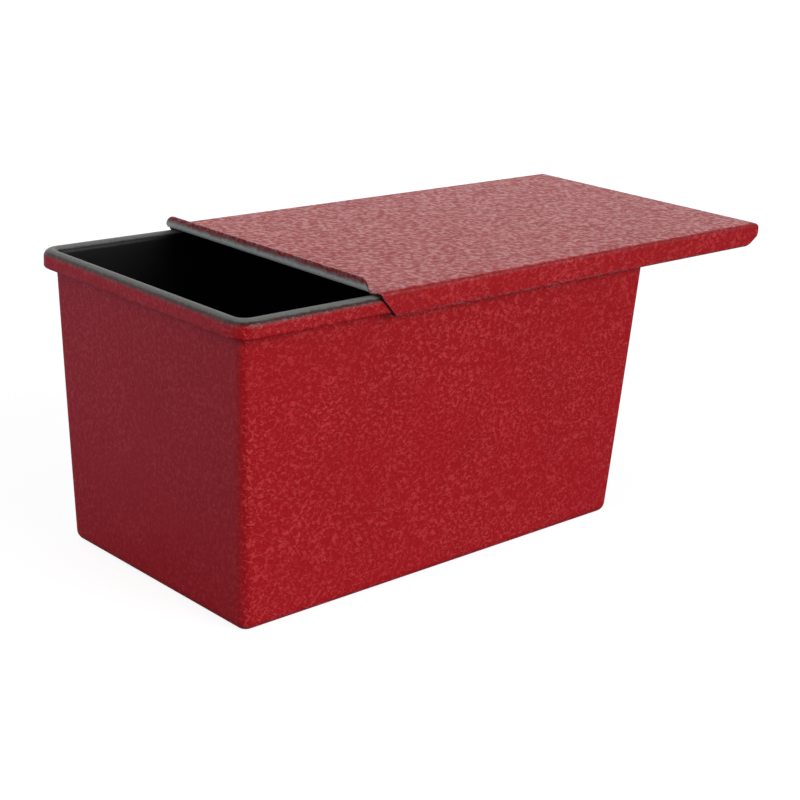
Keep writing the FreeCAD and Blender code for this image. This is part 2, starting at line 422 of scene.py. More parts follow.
@dataclass(frozen=True)
class CoatedSheet:
    """Steel sheet with the wrinkle coat on one side and the non-stick coat on the other."""

    outside: WrinkleCoat = WrinkleCoat()
    inside: NonStickCoat = NonStickCoat()
    fade: float = 0.55              # half width of the soft edge between the coats, mm
    spray: float = 2.2 * MM         # size of the edge's fine unevenness
    spray_reach: float = 1.1        # and how far it shifts the edge, mm
    drift: float = 16.0 * MM        # size of its slow wander
    facing_limits: Limits = (0.6, 0.95)     # of the normal, from not facing a way to facing it
    line: float = 0.75              # strength of the painted shade line where the coats meet
    shade_line_start: Limits = (-0.9, -0.1)       # mm past the meeting line
    shade_line_end: Limits = (0.4, 1.2)
    bend_shade: float = 0.28         # how much darker the red coat is painted on a bend, a painted shade
    bend_shade_start: Limits = (0.03, 0.30)       # of the normal's upward part
    bend_shade_end: Limits = (0.80, 0.99)
    # colour of wearing on cut edges and the hooks' bottoms, which also stands in for a painted
    # highlight there and for the lip's painted light
    worn_and_lit: tuple[float, float, float] = (0.42, 0.30, 0.30)
    worn_and_lit_strength: float = 0.75
    worn_and_lit_shine: float = 0.6
    red_lift: float = 1.2            # how much more the painted light lifts the lip's red band than an edge's mark does
    chip: float = 1.4 * MM
    chip_limits: Limits = (0.40, 0.62)
    fine: float = 0.45 * MM         # size of the finest roughness
    fine_relief: float = 0.02       # mm on the red coat
    fine_relief_inside: float = 0.04        # mm more on the dark one
    fine_roughness: float = 0.1
    specular: float = 0.15
    gloss_roughness: float = 0.36

    def make(self, name: str) -> bpy.types.Material:
        """Build the material.

        Args:
            name: its name.

        Returns:
            The material, which reads the OVER, EDGE_WEAR_AND_HIGHLIGHT, LIP_LIGHT and FACING attributes.
        """
        material, graph = new_material(name)
        coat = self.outside
        where = graph.add("ShaderNodeTexCoord", output="Object")
        over = graph.attribute(OVER)
        lip_light = graph.attribute(LIP_LIGHT)
        spray = graph.noise(where, self.spray, detail=3.0) - 0.5
        drift = graph.noise(where, self.drift, detail=1.0) - 0.5
        red = graph.step(over + spray * self.spray_reach + drift, -self.fade, self.fade)
        facing = graph.add("ShaderNodeAttribute", {"attribute_name": FACING}, output="Vector")
        up = graph.add("ShaderNodeSeparateXYZ", None, {"Vector": facing}, output="Z")
        along = abs(Field(graph, up.socket.node.outputs["X"]))
        flat = graph.step(up, *self.facing_limits)
        wrinkle = coat.wrinkles(graph, where, flat, graph.step(along, *self.facing_limits))
        fine = graph.noise(where, self.fine, detail=1.0)

        colour = graph.blend(
            red,
            self.inside.colour(graph, where, over),
            coat.colour(graph, where, wrinkle, flat),
        )
        # painted shade: the red coat darker on bends that turn from lying flat to upright
        bend = graph.step(up, *self.bend_shade_start) * (1.0 - graph.step(up, *self.bend_shade_end)) * red
        colour = graph.blend(bend * self.bend_shade, colour, rgba(self.inside.shade_tone))
        # wearing on cut edges and the hooks' bottoms, partly a painted highlight there, plus the
        # painted light of the lip's red band
        chips = graph.step(graph.noise(where, self.chip, detail=3.0), *self.chip_limits)
        worn_and_lit = (graph.attribute(EDGE_WEAR_AND_HIGHLIGHT) + lip_light * red * self.red_lift) * chips * self.worn_and_lit_strength
        colour = graph.blend(worn_and_lit, colour, rgba(self.worn_and_lit))
        # painted shade: a dark line along the coats' meeting line, left off where the lip has
        # painted light
        begun = graph.step(over + spray, *self.shade_line_start)
        line = begun * (1.0 - graph.step(over + spray, *self.shade_line_end)) * (1.0 - lip_light) * self.line
        colour = graph.blend(line, colour, rgba(self.inside.shade_tone))

        lump = graph.noise(where, coat.lump, detail=1.5)
        height = (wrinkle * coat.wrinkle_relief + lump * coat.lump_relief) * red
        relief = self.fine_relief + self.fine_relief_inside * (1.0 - red)
        height = height + fine * relief * MM
        normal = graph.add(
            "ShaderNodeBump", None, {"Strength": 1.0, "Distance": 1.0, "Height": height},
        )
        uneven = (fine - 0.5) * self.fine_roughness
        rough = graph.blend(
            red, self.inside.roughness + uneven, coat.roughness + uneven, "FLOAT"
        )
        surface = graph.add(
            "ShaderNodeBsdfPrincipled", None,
            {"Base Color": colour, "Roughness": rough, "Metallic": worn_and_lit * self.worn_and_lit_shine,
             "Normal": normal, "Specular IOR Level": self.specular,
             "Coat Weight": coat.sheen(graph, wrinkle, flat) * red,
             "Coat Roughness": self.gloss_roughness},
        )
        graph.add("ShaderNodeOutputMaterial", None, {"Surface": surface})
        return material


@dataclass(frozen=True)
class DrawnWire:
    """Bright drawn steel wire with faint lengthwise scratches."""

    bright: tuple[float, float, float] = (0.56, 0.56, 0.55)
    dull: tuple[float, float, float] = (0.30, 0.29, 0.27)
    patch: float = 6.0 * MM
    patch_limits: Limits = (0.42, 0.66)
    scratch: float = 1.2 * MM
    scratch_squash: float = 9.0     # how much shorter a scratch is upwards
    scratch_depth: float = 0.05 * MM
    scratch_strength: float = 0.2
    scratch_roughness: float = 0.2
    roughness: float = 0.28

    def make(self, name: str) -> bpy.types.Material:
        """Build the material.

        Args:
            name: its name.

        Returns:
            The material.
        """
        material, graph = new_material(name)
        where = graph.add("ShaderNodeTexCoord", output="Object")
        patch = graph.step(graph.noise(where, self.patch, detail=4.0), *self.patch_limits)
        scratch = graph.noise(where * (1.0, 1.0, self.scratch_squash), self.scratch, detail=3.0)
        normal = graph.add(
            "ShaderNodeBump", None,
            {"Strength": self.scratch_strength, "Distance": self.scratch_depth, "Height": scratch},
        )
        surface = graph.add(
            "ShaderNodeBsdfPrincipled", None,
            {"Base Color": graph.blend(patch, rgba(self.bright), rgba(self.dull)),
             "Roughness": self.roughness + scratch * self.scratch_roughness,
             "Metallic": 1.0, "Normal": normal},
        )
        graph.add("ShaderNodeOutputMaterial", None, {"Surface": surface})
        return material


# ---- mesh and Geometry Nodes helpers ---------------------------------------------------------
def arc(
    centre: tuple[float, float], radius: float, start: float, end: float, steps: int
) -> list[tuple[float, float]]:
    """Return points along an arc.

    Args:
        centre: its centre.
        radius: its radius.
        start: first angle in degrees, from the first axis towards the second.
        end: last angle in degrees.
        steps: number of equal steps between them.
    """
    angles = np.radians(np.linspace(start, end, steps + 1))
    return [(centre[0] + radius * math.cos(a), centre[1] + radius * math.sin(a)) for a in angles]


def eased(start: float, end: float, steps: int, margin: float) -> list[float]:
    """Return evenly spaced places with one more just inside each end.

    Args:
        start: first place.
        end: last place.
        steps: number of steps between the two inner places.
        margin: how far inside the ends those are.
    """
    way = math.copysign(margin, end - start)
    return [start, *np.linspace(start + way, end - way, steps + 1), end]


def mesh_object(
    name: str,
    points: Sequence[Sequence[float]],
    faces: Sequence[Sequence[int]],
    numbers: Mapping[str, Sequence[float]],
    vectors: Mapping[str, Sequence[Sequence[float]]] | None = None,
) -> bpy.types.Object:
    """Make a smooth-shaded mesh object with point attributes.

    Args:
        name: the object's name.
        points: vertex positions.
        faces: vertex numbers of each face, outside counter-clockwise.
        numbers: float attributes.
        vectors: vector attributes.

    Returns:
        The object, linked to the scene.
    """
    mesh = bpy.data.meshes.new(name)
    mesh.from_pydata([tuple(p) for p in points], [], [tuple(f) for f in faces])
    for key, values in numbers.items():
        layer = mesh.attributes.new(key, "FLOAT", "POINT")
        layer.data.foreach_set("value", np.asarray(values, np.float32))
    for key, values in (vectors or {}).items():
        layer = mesh.attributes.new(key, "FLOAT_VECTOR", "POINT")
        layer.data.foreach_set("vector", np.asarray(values, np.float32).ravel())
    mesh.shade_smooth()
    made = bpy.data.objects.new(name, mesh)
    bpy.context.scene.collection.objects.link(made)
    return made


def note_facing(made: bpy.types.Object) -> None:
    """Store the way that a finished mesh faces at each point, for its material.

    Args:
        made: the object.
    """
    count = len(made.data.vertices)
    normals = np.empty(count * 3, np.float32)
    made.data.vertices.foreach_get("normal", normals)
    made.data.attributes.new(FACING, "FLOAT_VECTOR", "POINT").data.foreach_set("vector", normals)


def grow(
    made: bpy.types.Object,
    tree: bpy.types.NodeTree,
    values: Mapping[str, object],
) -> bpy.types.Object:
    """Run a Geometry Nodes tree on an object and keep the result as its plain mesh.

    Args:
        made: the object that the tree is put on.
        tree: the tree.
        values: a value for each named input.

    Returns:
        The same object, without the modifier.
    """
    modifier = made.modifiers.new(tree.name, "NODES")
    modifier.node_group = tree
    identifiers = {item.name: item.identifier for item in tree.interface.items_tree
                   if item.in_out == "INPUT"}
    for name, value in values.items():
        modifier[identifiers[name]] = value
    depsgraph = bpy.context.evaluated_depsgraph_get()
    grown = bpy.data.meshes.new_from_object(made.evaluated_get(depsgraph), depsgraph=depsgraph)
    made.modifiers.remove(modifier)
    made.data = grown
    grown.name = made.name
    return made


class GrownTree:
    """A Geometry Nodes tree with named inputs that ends in Realize Instances and Set Material."""

    def __init__(self, name: str, inputs: Mapping[str, str]) -> None:
        """Start the tree.

        Args:
            name: the tree's name.
            inputs: socket type of each named input, after the geometry.
        """
        self.tree = bpy.data.node_groups.new(name, "GeometryNodeTree")
        self.graph = Graph(self.tree)
        face = self.tree.interface
        face.new_socket(name="Geometry", in_out="INPUT", socket_type="NodeSocketGeometry")
        face.new_socket(name="Geometry", in_out="OUTPUT", socket_type="NodeSocketGeometry")
        for key, kind in inputs.items():
            face.new_socket(name=key, in_out="INPUT", socket_type=kind)
        self._entry = self.tree.nodes.new("NodeGroupInput")

    def value(self, name: str) -> Field:
        """Return a named input.

        Args:
            name: the input's name.
        """
        return Field(self.graph, self._entry.outputs[name])

    def finish(self, geometry: Field) -> bpy.types.NodeTree:
        """Close the tree.

        Args:
            geometry: the finished shape.

        Returns:
            The tree, ready for a modifier.
        """
        smooth = self.graph.add("GeometryNodeSetShadeSmooth", None, {"Geometry": geometry})
        plain = self.graph.add("GeometryNodeRealizeInstances", None, {"Geometry": smooth})
        dressed = self.graph.add(
            "GeometryNodeSetMaterial", None,
            {"Geometry": plain, "Material": self.value("Finish")},
        )
        self.graph.add("NodeGroupOutput", None, {"Geometry": dressed})
        return self.tree


# ---- pan -------------------------------------------------------------------------------------
@dataclass
class PanShell:
    """The pan: one pressed sheet, its rim turned outwards over a wire and tucked under."""

    half_length: float              # over the rim
    half_width: float
    height: float
    taper_length: float = 5.4 * MM  # the wall leans out by this much from base to rim
    taper_width: float = 2.35 * MM
    base_corner: float = 4.4 * MM
    mouth_corner: float = 3.0 * MM
    base_edge: float = 3.8 * MM
    rim_radius: float = 2.65 * MM
    rim_drop: float = 6.65 * MM
    tuck_radius: float = 1.1 * MM
    tuck_flat: float = 0.8 * MM
    bow: float = 0.12 * MM          # the walls' slight belly
    meeting_angle: float = 33.0     # where the coats meet on the rim's shoulder, degrees
    below_skirt: float = 0.35 * MM  # the tapered wall ends this far under the skirt
    row_margin: float = 0.6 * MM    # how close the rows beside a bend lie to it
    edge_steps: int = 8
    wall_steps: int = 16
    skirt_steps: int = 3
    nose_steps: int = 6             # round the sheet's cut edge
    tuck_steps: tuple[int, int] = (5, 6)    # inside and outside of the sheet
    turn_steps: tuple[int, int] = (14, 20)
    base_rings: tuple[float, ...] = (0.12, 0.4, 0.7, 0.94, 0.985)    # shares of the base's size
    corner_steps: int = 10
    long_steps: int = 38
    short_steps: int = 22
    side_margin: float = 0.008      # share of a side from its ends to the next points

    @classmethod
    def from_frame(cls) -> "PanShell":
        """Return the pan at the size of its CAD node."""
        _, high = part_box("pan_body")
        return cls(half_length=high.x, half_width=high.y, height=high.z)

    @property
    def overhang(self) -> float:
        """How far the rim stands out from the wall."""
        return 2.0 * self.rim_radius - SHEET

    @property
    def skirt_bottom(self) -> float:
        """Height of the rim's lower edge."""
        return self.height - self.rim_drop

    @property
    def wall_top(self) -> float:
        """Height at which the tapered wall turns upright."""
        return self.skirt_bottom - self.below_skirt

    def profile(self) -> list[tuple[float, float]]:
        """Return the sheet's section as (outward, z), from the base's underside to its top."""
        edge = self.base_edge
        turn = self.height - self.rim_radius
        middle = self.rim_radius - SHEET
        skirt = self.overhang
        low = self.skirt_bottom
        tuck = low + self.tuck_radius
        tuck_x = skirt - self.tuck_radius
        nose = SHEET / 2.0
        margin = self.row_margin
        outside = arc((-edge, edge), edge, -90.0, 0.0, self.edge_steps)
        outside += [(0.0, z) for z in eased(edge, self.wall_top, self.wall_steps, margin)[1:]]
        outside += arc((middle, turn), middle, 180.0, 0.0, self.turn_steps[0])
        outside += [(skirt - SHEET, tuck + margin)]
        outside += arc((tuck_x, tuck), self.tuck_radius - SHEET, 0.0, -90.0, self.tuck_steps[0])
        outside += arc((tuck_x - self.tuck_flat, low + nose), nose, 90.0, 270.0, self.nose_steps)
        outside += arc((tuck_x, tuck), self.tuck_radius, -90.0, 0.0, self.tuck_steps[1])
        outside += [(skirt, z) for z in eased(tuck, turn, self.skirt_steps, margin / 2.0)[1:-1]]
        outside += arc((middle, turn), self.rim_radius, 0.0, 180.0, self.turn_steps[1])
        inside = [(-SHEET, z) for z in eased(self.wall_top, edge, self.wall_steps, margin)]
        inside += arc((-edge, edge), edge - SHEET, 0.0, -90.0, self.edge_steps)[1:]
        return outside + inside

    def perimeter(self) -> tuple[list[tuple[float, float]], list[tuple[float, float]]]:
        """Return each point's place between the corner centres, and the way it faces.

        Returns:
            Side fractions from -1 to 1, and unit facing directions, counter-clockwise.
        """
        corners = [(1, 1), (-1, 1), (-1, -1), (1, -1)]
        side: list[tuple[float, float]] = []
        facing: list[tuple[float, float]] = []
        for index, here in enumerate(corners):
            after = corners[(index + 1) % len(corners)]
            for x, y in arc((0.0, 0.0), 1.0, 90.0 * index, 90.0 * index + 90.0, self.corner_steps):
                side.append(here)
                facing.append((x, y))
            steps = self.long_steps if index % 2 == 0 else self.short_steps
            for share in eased(0.0, 1.0, steps, self.side_margin)[1:-1]:
                side.append(tuple(a + (b - a) * share for a, b in zip(here, after)))
                facing.append(facing[-1])
        return side, facing

    def rings(self) -> bpy.types.Object:
        """Return the bare rings of points that the tree presses to shape, joined by faces."""
        side, facing = self.perimeter()
        count = len(side)
        section = self.profile()
        stations = [(*section[0], share) for share in self.base_rings]
        stations += [(*place, 1.0) for place in section]
        stations += [(*section[-1], share) for share in reversed(self.base_rings)]
        steps = np.linalg.norm(np.diff([(x, z) for x, z, _ in stations], axis=0), axis=1)
        run = np.concatenate([[0.0], np.cumsum(steps)])
        over = (self._meeting_run(stations, run) - run) / MM
        rows = {"outward": 0, "height": 1, "shrink": 2}
        numbers = {key: np.repeat([s[i] for s in stations], count) for key, i in rows.items()}
        numbers[OVER] = np.repeat(over, count)
        numbers[EDGE_WEAR_AND_HIGHLIGHT] = np.zeros(count * len(stations))
        numbers[LIP_LIGHT] = np.zeros(count * len(stations))
        vectors = {
            "side": np.tile([(*s, 0.0) for s in side], (len(stations), 1)),
            "turned": np.tile([(*f, 0.0) for f in facing], (len(stations), 1)),
        }
        faces = [
            (ring * count + k, ring * count + (k + 1) % count,
             (ring + 1) * count + (k + 1) % count, (ring + 1) * count + k)
            for ring in range(len(stations) - 1) for k in range(count)
        ]
        last = (len(stations) - 1) * count
        faces.append(tuple(range(count - 1, -1, -1)))
        faces.append(tuple(range(last, last + count)))
        points = np.zeros((count * len(stations), 3))
        return mesh_object("pan_shell", points, faces, numbers, vectors)

    def _meeting_run(self, stations: Sequence[tuple[float, float, float]], run: np.ndarray) -> float:
        """Return the distance along the section at which the coats meet on the rim's shoulder.

        Args:
            stations: the section's points.
            run: distance along the section at each of them.
        """
        turn = self.height - self.rim_radius
        middle = self.rim_radius - SHEET
        angle = math.radians(self.meeting_angle)
        goal = Vector((middle + self.rim_radius * math.cos(angle),
                       turn + self.rim_radius * math.sin(angle)))
        gaps = [(Vector((x, z)) - goal).length for x, z, _ in stations]
        return float(run[int(np.argmin(gaps))])

    def press_tree(self) -> bpy.types.NodeTree:
        """Return the tree that places each point by the pan's own rule.

        Half sizes and corner radius change evenly from the base to the wall's top. A point lies
        between its corner centres by its side fraction, then out along the way it faces.
        """
        grown = GrownTree("press_pan", {
            "Base Half": "NodeSocketVector", "Mouth Half": "NodeSocketVector",
            "Base Corner": "NodeSocketFloat", "Mouth Corner": "NodeSocketFloat",
            "Wall Top": "NodeSocketFloat", "Bow": "NodeSocketFloat",
            "Finish": "NodeSocketMaterial",
        })
        graph = grown.graph

        def stored(name: str, kind: str = "FLOAT") -> Field:
            """Return an attribute that the rings carry."""
            return graph.add("GeometryNodeInputNamedAttribute", {"data_type": kind}, {"Name": name})

        height = stored("height")
        side = stored("side", "FLOAT_VECTOR")
        facing = stored("turned", "FLOAT_VECTOR")
        climb = graph.add(
            "ShaderNodeMath", {"operation": "MINIMUM"}, {0: height / grown.value("Wall Top"), 1: 1.0}
        )
        half = graph.blend(climb, grown.value("Base Half"), grown.value("Mouth Half"), "VECTOR")
        corner = graph.blend(
            climb, grown.value("Base Corner"), grown.value("Mouth Corner"), "FLOAT"
        )
        inward = graph.add("ShaderNodeCombineXYZ", None, {"X": corner, "Y": corner})
        across = graph.add(
            "ShaderNodeVectorMath", {"operation": "CROSS_PRODUCT"}, {0: facing, 1: side}
        )
        along = graph.add(
            "ShaderNodeVectorMath", {"operation": "LENGTH"}, {0: across}, output="Value"
        )
        swell = graph.add("ShaderNodeMath", {"operation": "SINE"}, {0: climb * math.pi})
        belly = grown.value("Bow") * swell * (1.0 - along * along)
        flat = side * (half - inward) + facing * (corner + stored("outward") + belly)
        up = graph.add("ShaderNodeCombineXYZ", None, {"Z": height})
        placed = graph.add(
            "GeometryNodeSetPosition", None,
            {"Geometry": grown.value("Geometry"), "Position": flat * stored("shrink") + up},
        )
        return grown.finish(placed)

    def build(self, finish: bpy.types.Material) -> bpy.types.Object:
        """Build and dress the pan.

        Args:
            finish: the coated sheet's material.

        Returns:
            The finished piece, riding on its body.
        """
        mouth = (self.half_length - self.overhang, self.half_width - self.overhang, 0.0)
        base = (mouth[0] - self.taper_length, mouth[1] - self.taper_width, 0.0)
        shell = grow(self.rings(), self.press_tree(), {
            "Base Half": base, "Mouth Half": mouth,
            "Base Corner": self.base_corner, "Mouth Corner": self.mouth_corner,
            "Wall Top": self.wall_top, "Bow": self.bow, "Finish": finish,
        })
        for name in ("outward", "height", "shrink", "side", "turned"):
            shell.data.attributes.remove(shell.data.attributes[name])
        note_facing(shell)
        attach(shell, Body.PAN.value)
        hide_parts("pan_body")
        return shell


@dataclass
class RimWire:
    """The wire that the rim is turned over, bent to a rounded rectangle."""

    half_length: float              # outside of the loop
    half_width: float
    centre_z: float
    radius: float
    corner: float                   # of the loop's centre line
    corner_steps: int = 12
    round_steps: int = 20

    @classmethod
    def from_frame(cls, pan: PanShell) -> "RimWire":
        """Return the wire at the size of its CAD node.

        Args:
            pan: the pan, whose rim the wire fills.
        """
        low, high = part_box("rim_wire")
        return cls(
            half_length=high.x, half_width=high.y,
            centre_z=(low.z + high.z) / 2.0, radius=(high.z - low.z) / 2.0,
            corner=pan.mouth_corner + pan.rim_radius - SHEET,
        )

    @staticmethod
    def tree() -> bpy.types.NodeTree:
        """Return the tree that sweeps a round wire along a rounded rectangle."""
        grown = GrownTree("wire_loop", {
            "Length": "NodeSocketFloat", "Width": "NodeSocketFloat", "Corner": "NodeSocketFloat",
            "Radius": "NodeSocketFloat", "Place": "NodeSocketVector",
            "Corner Steps": "NodeSocketInt", "Round Steps": "NodeSocketInt",
            "Finish": "NodeSocketMaterial",
        })
        graph = grown.graph
        frame_curve = graph.add(
            "GeometryNodeCurvePrimitiveQuadrilateral", None,
            {"Width": grown.value("Length"), "Height": grown.value("Width")},
        )
        path = graph.add(
            "GeometryNodeFilletCurve", {"mode": "POLY"},
            {"Curve": frame_curve, "Radius": grown.value("Corner"),
             "Count": grown.value("Corner Steps")},
        )
        section = graph.add(
            "GeometryNodeCurvePrimitiveCircle", None,
            {"Resolution": grown.value("Round Steps"), "Radius": grown.value("Radius")},
        )
        swept = graph.add(
            "GeometryNodeCurveToMesh", None, {"Curve": path, "Profile Curve": section}
        )
        placed = graph.add(
            "GeometryNodeTransform", None, {"Geometry": swept, "Translation": grown.value("Place")}
        )
        return grown.finish(placed)

    def build(self, finish: bpy.types.Material) -> bpy.types.Object:
        """Build and dress the wire.

        Args:
            finish: the wire's material.

        Returns:
            The finished piece, riding on its body.
        """
        wire = grow(mesh_object("reinforcing_wire", [], [], {}), self.tree(), {
            "Length": 2.0 * (self.half_length - self.radius),
            "Width": 2.0 * (self.half_width - self.radius),
            "Corner": self.corner, "Radius": self.radius,
            "Place": (0.0, 0.0, self.centre_z),
            "Corner Steps": self.corner_steps, "Round Steps": self.round_steps,
            "Finish": finish,
        })
        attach(wire, Body.PAN.value)
        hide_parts("rim_wire")
        return wire


# ---- lid -------------------------------------------------------------------------------------
@dataclass(frozen=True)
class LidRow:
    """One lengthwise row of the lid's outer surface.

    Attributes:
        y: distance from the middle.
        z: height.
        side: -1 or 1, the side of the lid.
        lip: whether the row's leading end is bent up into the lip.
        stop: whether its trailing end is bent down into the stop.
    """

    y: float
    z: float
    side: int
    lip: bool
    stop: bool


@dataclass
class SlidingLid:
    """The lid: a plate with hooked side rails, an upturned lip and a downturned stop."""

    start: float
    end: float
    half_width: float
    hook_bottom: float
    lip_top: float
    lip_rise: float = 4.1 * MM
    rail_bend: float = 1.5 * MM
    hook_bend: float = 1.3 * MM
    hook_reach: float = 3.6 * MM
    rail_cut: float = 8.0 * MM
    heel_length: float = 6.6 * MM
    heel_height: float = 4.1 * MM
    heel_round: float = 1.6 * MM
    lip_bend: float = 2.1 * MM
    lip_ends: tuple[float, float] = (55.6 * MM, 57.2 * MM)      # on the -Y and the +Y side
    lip_rounds: tuple[float, float] = (1.3 * MM, 3.2 * MM)
    lip_narrowings: tuple[float, float] = (3.0 * MM, 1.0 * MM)
    stop_drop: float = 5.2 * MM
    stop_bend: float = 2.6 * MM
    stop_round: float = 1.2 * MM
    stop_side_gap: float = 0.8 * MM
    chamfer: float = 3.1 * MM
    corner_backs: tuple[float, float] = (0.0, 1.25 * MM)        # where the chamfer starts
    edge_round: float = 0.22 * MM
    half_gap: float = 0.30 * MM     # each side of the cut beside the lip's bend
    red_band: float = 1.75 * MM     # how far the red coat reaches down the lip's outer face
    lip_blur: float = 0.6           # below 1, the coats meet more softly on the lip
    lip_painted_light: float = 0.6            # how much painted light the lip's outer face has, 0 to 1
    rail_over: float = 3.0          # mm past the meeting line at the rail's outside
    deepest: float = 14.0           # mm past it, where the coat no longer changes
    bend_margin: float = 0.6 * MM   # how close a row's ends come to the bends at its ends
    row_margin: float = 0.4 * MM    # how close the rows beside a bend lie to it
    hook_margin: float = 0.3 * MM   # the same on the flat of the hook
    plate_margin: float = 0.5 * MM  # how close the plate's points come to its two ends
    stop_margin: float = 0.8 * MM   # how far above its rounded corners the stop has a row
    plate_steps: int = 46           # along the lid
    middle_steps: int = 14          # across it, from the middle to the lip's end
    flap_steps: int = 2
    rail_steps: int = 5
    rail_bend_steps: int = 8
    hook_steps: int = 2
    hook_bend_steps: int = 7
    stop_bend_steps: int = 8
    round_turn: int = 15            # degrees between the points of the lip's upper corner
    end_steps: int = 15             # points along the lip, the stop or a row's end

    @classmethod
    def from_frame(cls) -> "SlidingLid":
        """Return the lid at the size and place of its CAD node."""
        low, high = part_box("sliding_lid")
        return cls(start=low.x, end=high.x, half_width=high.y, hook_bottom=low.z, lip_top=high.z)

    @property
    def top(self) -> float:
        """Height of the plate's upper face."""
        return self.lip_top - self.lip_rise

    @property
    def stop_half_width(self) -> float:
        """Half the length of the stop."""
        return self.half_width - SHEET - self.stop_side_gap

    @staticmethod
    def on_side(pair: tuple[float, float], side: int) -> float:
        """Return the -Y or the +Y one of a pair.

        Args:
            pair: the two values.
            side: -1 or 1.
        """
        return pair[(side + 1) // 2]

    def lip_end(self, side: int) -> float:
        """Return where the lip's bend ends on one side.

        Args:
            side: -1 or 1.
        """
        return self.on_side(self.lip_ends, side) - self.edge_round

    def half_rows(self, side: int) -> list[LidRow]:
        """Return the rows of one side, from the middle of the plate to the hook's edge.

        Args:
            side: -1 or 1.
        """
        lip_y = self.lip_end(side)
        stop_y = self.stop_half_width - self.edge_round
        bend_y = self.half_width - self.rail_bend
        margin = self.row_margin

        def rows(places: Iterable[tuple[float, float]], lip: bool, stop: bool) -> list[LidRow]:
            """Return a row at each place."""
            return [LidRow(y, z, side, lip, stop) for y, z in places]

        made = rows(((y, self.top) for y in eased(0.0, lip_y, self.middle_steps, margin)[2:]),
                    True, True)
        if stop_y - lip_y > margin:
            flap = eased(lip_y, stop_y, self.flap_steps, 2.0 * self.half_gap)
            made += rows(((y, self.top) for y in flap), False, True)
        rail = [(made[-1].y, self.top)]
        rail_centre = (bend_y, self.top - self.rail_bend)
        rail += arc(rail_centre, self.rail_bend, 90.0, 0.0, self.rail_bend_steps)
        hook_z = self.hook_bottom + self.hook_bend
        upright = eased(rail_centre[1], hook_z, self.rail_steps, margin)
        rail += [(self.half_width, z) for z in upright[1:-1]]
        hook_centre = (self.half_width - self.hook_bend, hook_z)
        rail += arc(hook_centre, self.hook_bend, 0.0, -90.0, self.hook_bend_steps)
        hook_end = self.half_width - self.hook_reach + self.edge_round
        level = eased(hook_centre[0], hook_end, self.hook_steps, self.hook_margin)
        rail += [(y, self.hook_bottom) for y in level[1:]]
        return made + rows(rail, False, False)

    @property
    def plate_end(self) -> float:
        """Where the plate's rows end, just short of the stop's bend."""
        return self.end - self.stop_bend - self.edge_round - self.bend_margin

    def row_start(self, row: LidRow) -> float:
        """Return where a row outside the lip begins, by the chamfer and the sloping cut.

        Args:
            row: the row.
        """
        corner = self.lip_end(row.side) + self.edge_round
        beside = max((row.y - corner) / (self.half_width - corner), 0.0)
        back = self.on_side(self.corner_backs, row.side)
        by_chamfer = self.start + back + (self.chamfer - back) * beside
        under = self.top - SHEET
        slope = self.rail_cut / (under - self.hook_bottom)
        by_cut = self.start + self.chamfer - SHEET + slope * max(under - row.z, 0.0)
        return max(by_chamfer, by_cut if row.z < under else self.start) + self.edge_round

    def row_end(self, row: LidRow) -> float:
        """Return where a row outside the stop ends, by the rounded corner and the heel.

        Args:
            row: the row.
        """
        end = self.end
        above = row.z - (self.top - self.stop_bend)
        if above > 0.0:
            above = min(above, self.stop_bend)
            end -= self.stop_bend - math.sqrt(self.stop_bend**2 - above**2)
        rise = math.atan2(self.heel_height, self.heel_length)
        turn = math.pi / 2.0 - rise
        centre_z = self.hook_bottom + self.heel_height + self.heel_round * math.tan(turn / 2.0)
        below = centre_z - row.z
        if below > self.heel_round * math.sin(turn):
            end -= (self.hook_bottom + self.heel_height - row.z) / math.tan(rise)
        elif below > 0.0:
            end -= self.heel_round - math.sqrt(self.heel_round**2 - below**2)
        return end - self.edge_round

    def lip_line(self, side: int) -> list[tuple[float, float, float]]:
        """Return the lip's upper-side line as (x, z, half width), from its top to the plate.

        Args:
            side: -1 or 1.
        """
        bend = self.lip_bend - SHEET
        foot = self.start + self.lip_bend
        upright = self.lip_top - self.edge_round
        straight = self.top + bend
        turns = np.radians(range(0, 91, self.round_turn))
        drops = [max(self.lip_rounds) * (1.0 - math.cos(a)) for a in turns]
        line = [(foot - bend, upright - d) for d in drops if upright - d > straight]
        line += [(foot - bend * math.sin(a), self.top + bend * (1.0 - math.cos(a)))
                 for a in np.radians(np.linspace(90.0, 0.0, self.end_steps - len(line)))]
        return [(x, z, self._lip_half(z, side)) for x, z in line]

    def _lip_half(self, z: float, side: int) -> float:
        """Return the lip's half width at a height, with its rounded upper corner.

        Args:
            z: the height.
            side: -1 or 1.
        """
        upright = self.lip_top - self.edge_round
        radius = self.on_side(self.lip_rounds, side)
        half = self.lip_end(side) - self.half_gap
        half -= self.on_side(self.lip_narrowings, side) * max(z - self.top, 0.0) / self.lip_rise
        into = max(z - (upright - radius), 0.0)
        return half - (radius - math.sqrt(radius**2 - into**2))

    def stop_line(self) -> list[tuple[float, float, float]]:
        """Return the stop's outer line as (x, z, half width), from the plate down."""
        bend = self.stop_bend
        foot = self.end - bend
        bottom = self.top - self.stop_drop + self.edge_round
        half = self.stop_half_width - self.edge_round
        line = [(self.plate_end, self.top, half)]
        line += [(foot + bend * math.sin(a), self.top - bend + bend * math.cos(a), half)
                 for a in np.radians(np.linspace(0.0, 90.0, self.stop_bend_steps + 1))]
        line.append((self.end, bottom + self.stop_round + self.stop_margin, half))
        for a in np.radians(np.linspace(0.0, 90.0, self.end_steps - len(line))):
            inset = self.stop_round * (1.0 - math.cos(a))
            line.append((self.end, bottom + self.stop_round * (1.0 - math.sin(a)), half - inset))
        return line

